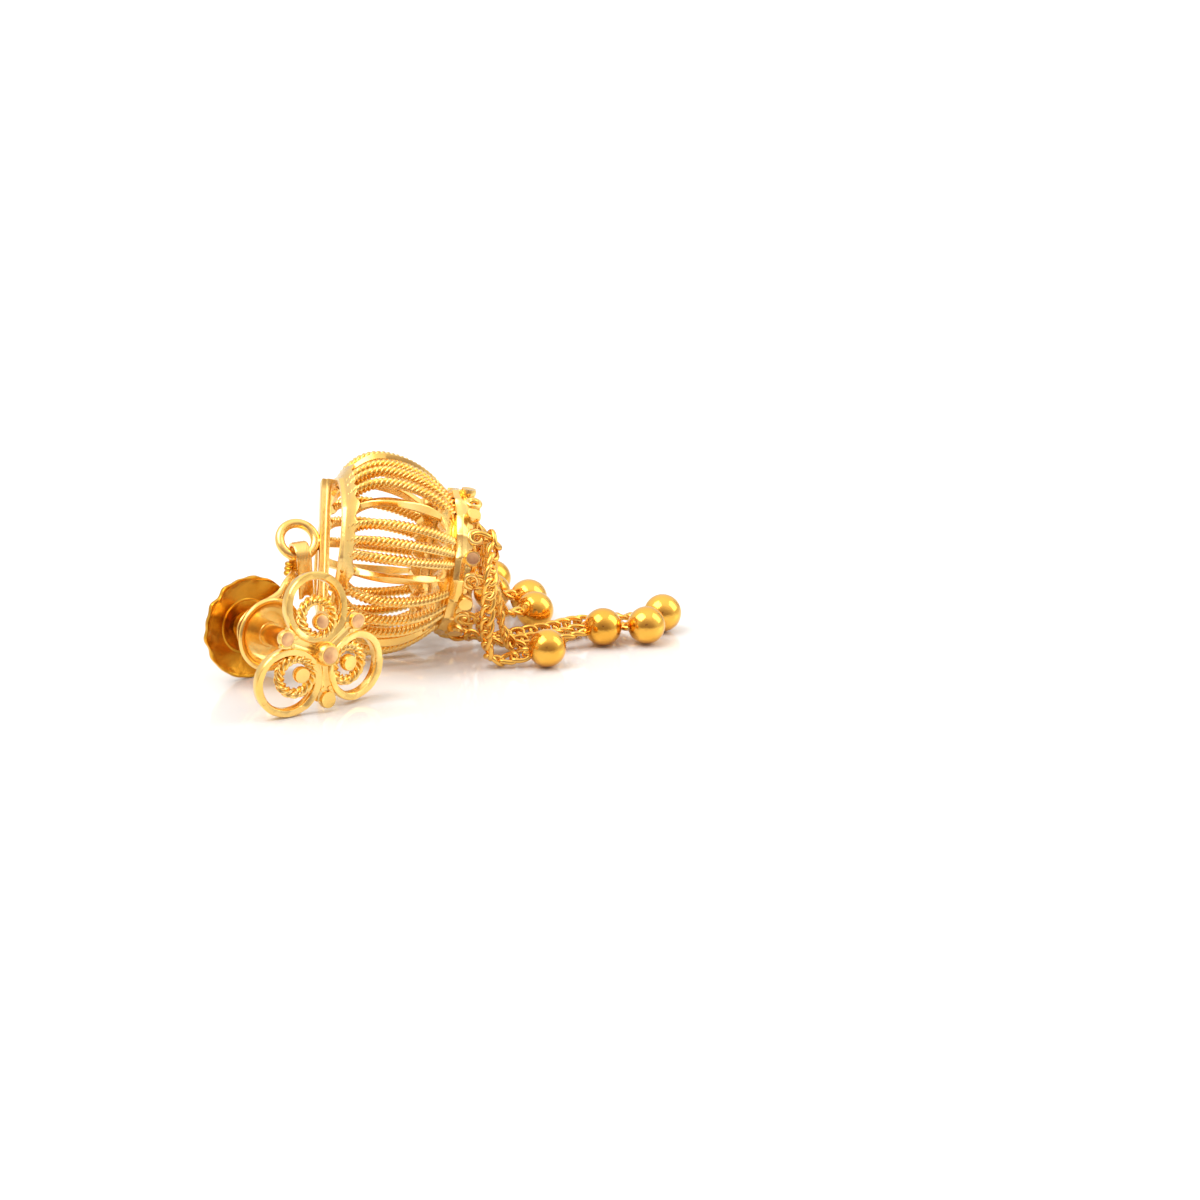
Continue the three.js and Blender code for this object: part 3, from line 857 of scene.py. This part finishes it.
def stud_cuts():
    """The cut faces of the middle ball, one petal's granule and two of the notch granules, with painted dark
    reflections.
    """
    shape = Shape()
    shape.take(cut_face(CENTRE_BALL, CENTRE_BALL_CUT).place(centre=(0, 0, CENTRE_BALL / 2)))
    flat = cut_face(PETAL_GRANULE, PETAL_GRANULE_CUT)
    shape.take(on_petal(flat, 0, PETAL_GRANULE_SHIFT, PETAL_GRANULE_OUT))
    for k in CUT_NOTCHES:
        shape.take(on_notch(cut_face(NOTCH_GRANULE, NOTCH_GRANULE_CUT).place(centre=(NOTCH_SPREAD, 0, 0)), k))
    return shape.place(STUD, STUD_CENTRE)


def screw_back_shape():
    """The dished disc with its boss and pin. The disc's edge is wavy, most of all at the upper left."""
    boss_face = TUBE_LENGTH + FACE_GAP
    floor = boss_face + BOSS_HEIGHT
    pin = BORE_R - PIN_GAP
    radii = [BOSS_R, 1.35, 1.9, 2.0, 2.1, 2.2, 2.35, 2.9, 3.4, 3.75, 3.9, DISC_R]
    dish = [0.0, 0.0, 0.02, 0.07, 0.07, 0.02, 0.06, 0.24, 0.42, 0.56, 0.64, DISC_DISH]
    front = [(r, floor - d) for r, d in zip(radii, dish)]
    rear = [(r, floor - min(d, 0.24 + d / 2) + DISC_WALL) for r, d in zip(radii[::-1], dish[::-1])]
    section = [
        (0, boss_face - PIN_LENGTH), (pin - 0.05, boss_face - PIN_LENGTH),
        (pin, boss_face - PIN_LENGTH + 0.05), (pin, boss_face), (BOSS_R - 0.3, boss_face),
        (BOSS_R - 0.1, boss_face + 0.1), (BOSS_R - 0.03, floor - 0.1),
    ]
    section += front + [(DISC_R + 0.05, floor - DISC_DISH + DISC_WALL / 2)] + rear
    section += [(0.7, floor + DISC_WALL), (0, floor + DISC_WALL)]

    def wave(a, r, h):
        far = np.clip((r - DISC_WAVES_FROM) / (DISC_R - DISC_WAVES_FROM), 0, 1) ** 2
        near_top = (0.5 + 0.5 * math.cos(a - DISC_WAVES_AT)) ** 2
        ripple = near_top * (0.5 * math.sin(17 * a) + 0.5 * math.sin(11 * a + 1.3))
        return r - DISC_WAVE * far * (0.3 + ripple), h + DISC_WARP * far * ripple

    return turned(back(section), 192, closed=False, wave=wave).place(STUD, STUD_CENTRE)


def fold_centre():
    """The middle of the strap's fold, which lies on the hanging ring's wire."""
    swing = math.radians(STRAP_SWING)
    local = np.array([RING_AT + RING_R * math.sin(swing), RING_R * math.cos(swing) - RING_SHIFT, 0])
    return BELL @ (around(BAR_TURN) @ local) + BELL_CENTRE


def strap():
    """The folded strap: drawn lines along its outer face, and a notch in the end of the long leg."""
    outer = STRAP_INNER + STRAP_THICK
    path = [(outer, y, 0) for y in np.linspace(-STRAP_FRONT, -0.2, 12)]
    path += [(outer * math.cos(a), outer * math.sin(a), 0) for a in np.linspace(0, math.pi, 25)]
    path += [(-outer, y, 0) for y in np.linspace(-0.2, -outer, 5)]
    path = np.array(path, float)
    half = STRAP_WIDTH / 2
    sections = []
    across = np.linspace(-1, 1, 25)
    run = run_along(path)
    count = len(path)
    for i, p in enumerate(path):
        if p[1] > 0:
            inward = unit(-p)
        else:
            inward = np.array([-math.copysign(1, p[0]), 0, 0])
        lines = STRAP_LINES * across + STRAP_LINES_DRIFT * run[i]
        groove = STRAP_GROOVE * np.cos(math.pi * lines) ** 2
        groove = groove * (1 - np.abs(across) ** 6)
        deep = 0.02 - groove + 0.03 * np.abs(across) ** 8
        face = [p + inward * d + np.array([0, 0, w * half]) for w, d in zip(across, deep)]
        inner = [p + inward * STRAP_THICK + np.array([0, 0, w * half * 0.97]) for w in across[::-1]]
        if i == 0:
            notch = [np.array([0, STRAP_NOTCH * max(0, 1 - abs(w) / STRAP_NOTCH_HALF), 0]) for w in across]
            face = [q + n for q, n in zip(face, notch)]
            inner = [q + n for q, n in zip(inner, notch[::-1])]
        sections.append(np.array(face + inner))
    shape = Shape()
    n = len(across)
    faces = grid_faces(count, 2 * n, False, True)
    for start in (0, (count - 1) * 2 * n):
        for j in range(n - 1):
            quad = (start + j, start + 2 * n - 1 - j, start + 2 * n - 2 - j, start + j + 1)
            faces.append(quad if start == 0 else quad[::-1])
    shape.add(np.concatenate(sections), faces)
    basis = turn_z(STRAP_TURN) @ turn_y(-STRAP_LEAN) @ turn_z(-90) @ turn_x(90)
    return shape.place(basis, fold_centre())


def bail_shape():
    """The strap, and the wire loop that goes round the tube with both ends in the collar."""
    inner = [STUD @ np.array([x, y, out - TUBE_LENGTH]) + STUD_CENTRE for x, y, out in LOOP_POINTS]
    line = spline([COLLAR, *inner, COLLAR], 150)
    return strap().take(tube(line, BAIL_WIRE, 14))


def collar_shape():
    """The collar that the loop's ends go into, in the screw back's darkened gold, wound with two thick turns.
    """
    way = COLLAR_TOP - COLLAR
    line = np.array([COLLAR + way * t for t in np.linspace(-0.06, 1.0, 36)])
    bumps = np.abs(np.sin(np.linspace(0, COLLAR_BUMPS * math.pi, 36))) ** 0.7
    ridges = COLLAR_R * (0.88 + 0.2 * bumps)
    return tube(line, ridges, 28)


def at_loop(place, i):
    """Where a place by the first chain loop comes to lie by another one, in the layout."""
    return BELL @ (around(GRANULE_TURN + STATION_STEP * i - 90) @ np.array(place)) + BELL_CENTRE


def chain_start(inside, i):
    """Where a chain's own line starts: inside its loop, or beyond it."""
    reach = LOOP_R + LOOP_WIRE
    if inside:
        return at_loop([LOOP_AT, LOOP_OUT - reach - INSIDE_GAP, 0], i)
    return at_loop([LOOP_AT + reach + LOOP_GAP, LOOP_OUT, 0], i)


def link():
    """One link of a curb chain: a long ring whose two ends are turned against each other."""
    line = []
    for a in np.linspace(0, 2 * math.pi, LINK_STEPS, endpoint=False):
        x = LINK_LONG * math.copysign(abs(math.cos(a)) ** LINK_SQUARE[0], math.cos(a))
        y = LINK_WIDE * math.copysign(abs(math.sin(a)) ** LINK_SQUARE[1], math.sin(a))
        twist = LINK_TWIST * x / LINK_LONG
        line.append((x, y * math.cos(twist), y * math.sin(twist)))
    return tube(np.array(line), LINK_WIRE, LINK_SIDES, closed=True)


def chain_shape(route, i):
    """Linked links from a loop at the mouth to a ball's eye, each turned a little further than the last."""
    inside, via, ball = route
    centre = np.array([*ball, BALL_R])
    way = unit(np.array(via[-1]) - centre)
    end = centre + way * (BALL_R + BALL_NECK + LINK_GAP)
    line = spline([chain_start(inside, i), *via, end], 400)
    line = np.concatenate([
        np.linspace(at_loop([LOOP_AT, LOOP_OUT, 0], i), line[0], 12, endpoint=False),
        line,
        np.linspace(line[-1], centre + way * (BALL_R + 0.1), 8)[1:],
    ])
    count = max(3, round(length_of(line) / LINK_PITCH))
    at = even(line, count * 4)
    ahead, across, up = carried_frames(at)
    base = link()
    shape = Shape()
    rng = np.random.default_rng(LINK_SEED + i)
    for k in range(count):
        j = 4 * k + 2
        roll = LINK_ROLL + LINK_ROLL_STEP * k + rng.uniform(-LINK_ROLL_SPREAD, LINK_ROLL_SPREAD)
        basis = np.column_stack([ahead[j], across[j], up[j]]) @ turn_x(roll)
        shape.take(base.place(basis, at[j]))
    return shape


def ball_shape(route):
    """A polished ball with a short neck and an eye towards its chain."""
    _, via, ball = route
    centre = np.array([*ball, BALL_R])
    way = unit(np.array(via[-1]) - centre)
    side = unit(np.cross(way, [0.2, 0.9, 0.4]))
    basis = np.column_stack([side, np.cross(way, side), way])
    arc = np.linspace(math.pi, 0.2, 40)
    section = [(BALL_R * math.sin(a), BALL_R * math.cos(a)) for a in arc]
    section[0] = (0.0, -BALL_R)
    section += [
        (0.29, BALL_R * 0.985), (0.27, BALL_R + 0.08), (0.24, BALL_R + 0.13), (0.0, BALL_R + 0.14),
    ]
    shape = turned(section, 64, closed=False)
    eye = tube(circle(EYE_R, 20) @ turn_x(90).T + np.array([0, 0, BALL_R + 0.26]), EYE_WIRE, 8, closed=True)
    return shape.take(eye).place(basis, centre)


def mesh_object(name, shape, material, smooth_angle):
    """A shape as an object, in metres and in the row's frame."""
    corners = (np.concatenate(shape.corners) + ORIGIN) / 1000
    mesh = bpy.data.meshes.new(name)
    mesh.from_pydata(corners.tolist(), [], shape.faces)
    mesh.materials.append(material)
    made = bpy.data.objects.new(name, mesh)
    bpy.context.scene.collection.objects.link(made)
    mesh.validate()
    fix_normals(mesh, math.radians(smooth_angle))
    return made


def fix_normals(mesh, angle):
    """Welds, turns the faces outwards, and keeps the edges sharp that are bent more than an angle."""
    work = bmesh.new()
    work.from_mesh(mesh)
    bmesh.ops.remove_doubles(work, verts=work.verts, dist=2e-8)
    bmesh.ops.recalc_face_normals(work, faces=work.faces)
    for face in work.faces:
        face.smooth = True
    for edge in work.edges:
        edge.smooth = len(edge.link_faces) != 2 or edge.calc_face_angle(0.0) < angle
    work.to_mesh(mesh)
    work.free()


def node(tree, kind, **values):
    made = tree.nodes.new(kind)
    for key, value in values.items():
        setattr(made, key, value)
    return made


def gold(name, colour, deep, roughness, grain, bump, patches=260):
    """Yellow gold: a warmer tone in places, fine polish marks, and a slightly uneven surface."""
    material = bpy.data.materials.new(name)
    material.use_nodes = True
    tree = material.node_tree
    shader = tree.nodes["Principled BSDF"]
    shader.inputs["Metallic"].default_value = 1.0
    place = node(tree, "ShaderNodeTexCoord")
    broad = node(tree, "ShaderNodeTexNoise")
    broad.inputs["Scale"].default_value = patches
    broad.inputs["Detail"].default_value = 4
    fine = node(tree, "ShaderNodeTexNoise")
    fine.inputs["Scale"].default_value = grain
    fine.inputs["Detail"].default_value = 5
    tone = node(tree, "ShaderNodeMix", data_type="RGBA")
    tone.inputs["A"].default_value = (*colour, 1)
    tone.inputs["B"].default_value = (*deep, 1)
    spread = node(tree, "ShaderNodeMapRange")
    spread.inputs["From Min"].default_value = PATCH_SPREAD[0]
    spread.inputs["From Max"].default_value = PATCH_SPREAD[1]
    polish = node(tree, "ShaderNodeMapRange")
    polish.inputs["To Min"].default_value = roughness * POLISH_RANGE[0]
    polish.inputs["To Max"].default_value = roughness * POLISH_RANGE[1]
    uneven = node(tree, "ShaderNodeBump")
    uneven.inputs["Strength"].default_value = bump
    uneven.inputs["Distance"].default_value = DENT
    join = tree.links.new
    for texture in (broad, fine):
        join(place.outputs["Object"], texture.inputs["Vector"])
    join(broad.outputs["Fac"], spread.inputs["Value"])
    join(spread.outputs["Result"], tone.inputs["Factor"])
    join(tone.outputs["Result"], shader.inputs["Base Color"])
    join(fine.outputs["Fac"], polish.inputs["Value"])
    join(polish.outputs["Result"], shader.inputs["Roughness"])
    join(fine.outputs["Fac"], uneven.inputs["Height"])
    join(uneven.outputs["Normal"], shader.inputs["Normal"])
    return material


BELL_GOLD = gold("bell_gold", (0.99, 0.675, 0.235), (0.92, 0.55, 0.12), 0.2, 1400, 0.14)
STUD_GOLD = gold("stud_gold", (0.98, 0.665, 0.22), (0.92, 0.545, 0.115), 0.2, 1200, 0.14)
# Screw back and collar: gold darkened and browned well below the earring's own, as painted shade for the dark
# front that the dish mirrors
SHADED_BACK_GOLD = gold("back_gold", (0.8, 0.41, 0.04), (0.56, 0.26, 0.02), 0.19, 420, 0.25)
CHAIN_GOLD = gold("chain_gold", (0.92, 0.54, 0.12), (0.74, 0.37, 0.06), 0.15, 1200, 0.08)
# Cut faces: rougher gold with darker, redder patches, a painted reflection of dark surroundings on the flats
CUT_REFLECTION_GOLD = gold("cut_reflection_gold", (0.95, 0.58, 0.27), (0.52, 0.22, 0.12), 0.34, 900, 0.2, 900)
BALL_GOLD = gold("ball_gold", (0.94, 0.52, 0.09), (0.8, 0.39, 0.045), 0.13, 700, 0.3)


def build(name, shape, material, body, slot_name, *nodes, smooth_angle=32):
    """Makes a piece that rides on a body in place of its solids."""
    piece = mesh_object(name, shape, material, smooth_angle)
    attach(piece, body)
    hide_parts(*nodes)


build("bell_look", bell_shape(), BELL_GOLD, "earring", "bell_gold", "bell")
build("stud_look", stud_shape(), STUD_GOLD, "earring", "stud_gold", "stud")
build("bell_cuts_look", bell_cuts(), CUT_REFLECTION_GOLD, "earring", "bell_gold", "bell")
build("stud_cuts_look", stud_cuts(), CUT_REFLECTION_GOLD, "earring", "stud_gold", "stud")
build("screw_back_look", screw_back_shape(), SHADED_BACK_GOLD, "screw_back", "back_gold", "screw_back")
build("bail_look", bail_shape(), STUD_GOLD, "earring", "stud_gold", "bail")
build("collar_look", collar_shape(), SHADED_BACK_GOLD, "earring", "stud_gold", "bail")
for number, route in enumerate(ROUTES):
    tag = f"{number + 1:02d}"
    chain = chain_shape(route, number)
    build(f"chain_{tag}_look", chain, CHAIN_GOLD, "earring", "chain_gold", f"chain_{tag}", smooth_angle=60)
    build(f"ball_{tag}_look", ball_shape(route), BALL_GOLD, "earring", "ball_gold", f"ball_{tag}")


def plain_material(name, colour, roughness):
    material = bpy.data.materials.new(name)
    material.use_nodes = True
    shader = material.node_tree.nodes["Principled BSDF"]
    shader.inputs["Base Color"].default_value = (*colour, 1)
    shader.inputs["Roughness"].default_value = roughness
    return material


def floor():
    bpy.ops.mesh.primitive_plane_add(size=3.0, location=(0, 0.4, 0))
    made = bpy.context.object
    made.name = "floor"
    made.data.materials.append(plain_material("floor_white", FLOOR_WHITE, FLOOR_GLOSS))


def card(name, size, place, target, colour):
    """A flat card outside the picture, for the gold to mirror."""
    bpy.ops.mesh.primitive_plane_add(size=1.0)
    made = bpy.context.object
    made.name = name
    made.scale = (size[0] / 1000, size[1] / 1000, 1)
    made.location = (np.array(place) + ORIGIN) / 1000
    aim = Vector((np.array(target, float) - np.array(place, float)).tolist())
    made.rotation_euler = aim.to_track_quat("Z", "Y").to_euler()
    made.data.materials.append(plain_material(name + "_paint", colour, 0.9))


def area_light(name, size, place, power):
    """A white panel that shines at the middle of the floor."""
    light = bpy.data.lights.new(name, "AREA")
    light.shape = "RECTANGLE"
    light.size, light.size_y = size
    light.energy = power
    made = bpy.data.objects.new(name, light)
    bpy.context.scene.collection.objects.link(made)
    made.location = place
    made.rotation_euler = (-Vector(place)).to_track_quat("-Z", "Y").to_euler()


def world():
    """A white tent, brighter overhead, and darker and warmer on the side of the camera."""
    made = bpy.data.worlds.new("white_tent")
    bpy.context.scene.world = made
    made.use_nodes = True
    tree = made.node_tree
    place = node(tree, "ShaderNodeTexCoord")
    split = node(tree, "ShaderNodeSeparateXYZ")
    front = node(tree, "ShaderNodeMapRange", interpolation_type="SMOOTHSTEP")
    depths = {"From Min": -0.97, "From Max": -0.2, "To Min": TENT_FRONT, "To Max": TENT_BACK}
    for key, value in depths.items():
        front.inputs[key].default_value = value
    over = node(tree, "ShaderNodeMapRange")
    heights = {"From Min": 0.0, "From Max": 1.0, "To Min": TENT_LOW, "To Max": TENT_HIGH}
    for key, value in heights.items():
        over.inputs[key].default_value = value
    product = node(tree, "ShaderNodeMath", operation="MULTIPLY")
    join = tree.links.new
    join(place.outputs["Generated"], split.inputs["Vector"])
    join(split.outputs["Y"], front.inputs["Value"])
    join(split.outputs["Z"], over.inputs["Value"])
    join(front.outputs["Result"], product.inputs[0])
    join(over.outputs["Result"], product.inputs[1])
    warm = node(tree, "ShaderNodeMix", data_type="RGBA")
    warm.inputs["A"].default_value = (*TENT_WARM, 1)
    warm.inputs["B"].default_value = (*TENT_WHITE, 1)
    background = tree.nodes["Background"]
    join(front.outputs["Result"], warm.inputs["Factor"])
    join(warm.outputs["Result"], background.inputs["Color"])
    join(product.outputs["Value"], background.inputs["Strength"])


def camera():
    rise = math.radians(CAMERA_RISE)
    data = bpy.data.cameras.new("camera")
    data.lens = CAMERA_LENS
    data.sensor_width = 36
    data.clip_start = 0.01
    data.clip_end = 10
    made = bpy.data.objects.new("camera", data)
    bpy.context.scene.collection.objects.link(made)
    place = np.array([0, -CAMERA_FAR * math.cos(rise), CAMERA_FAR * math.sin(rise)])
    made.location = (place + ORIGIN) / 1000
    made.rotation_euler = Vector((-place).tolist()).to_track_quat("-Z", "Y").to_euler()
    bpy.context.scene.camera = made


floor()
world()
area_light("key", *KEY_LIGHT)
area_light("fill", *FILL_LIGHT)
bpy.context.scene.view_settings.view_transform = "Standard"
camera()
card("camera_body", *CAMERA_CARD)
card("tent_gap", *BACK_CARD)
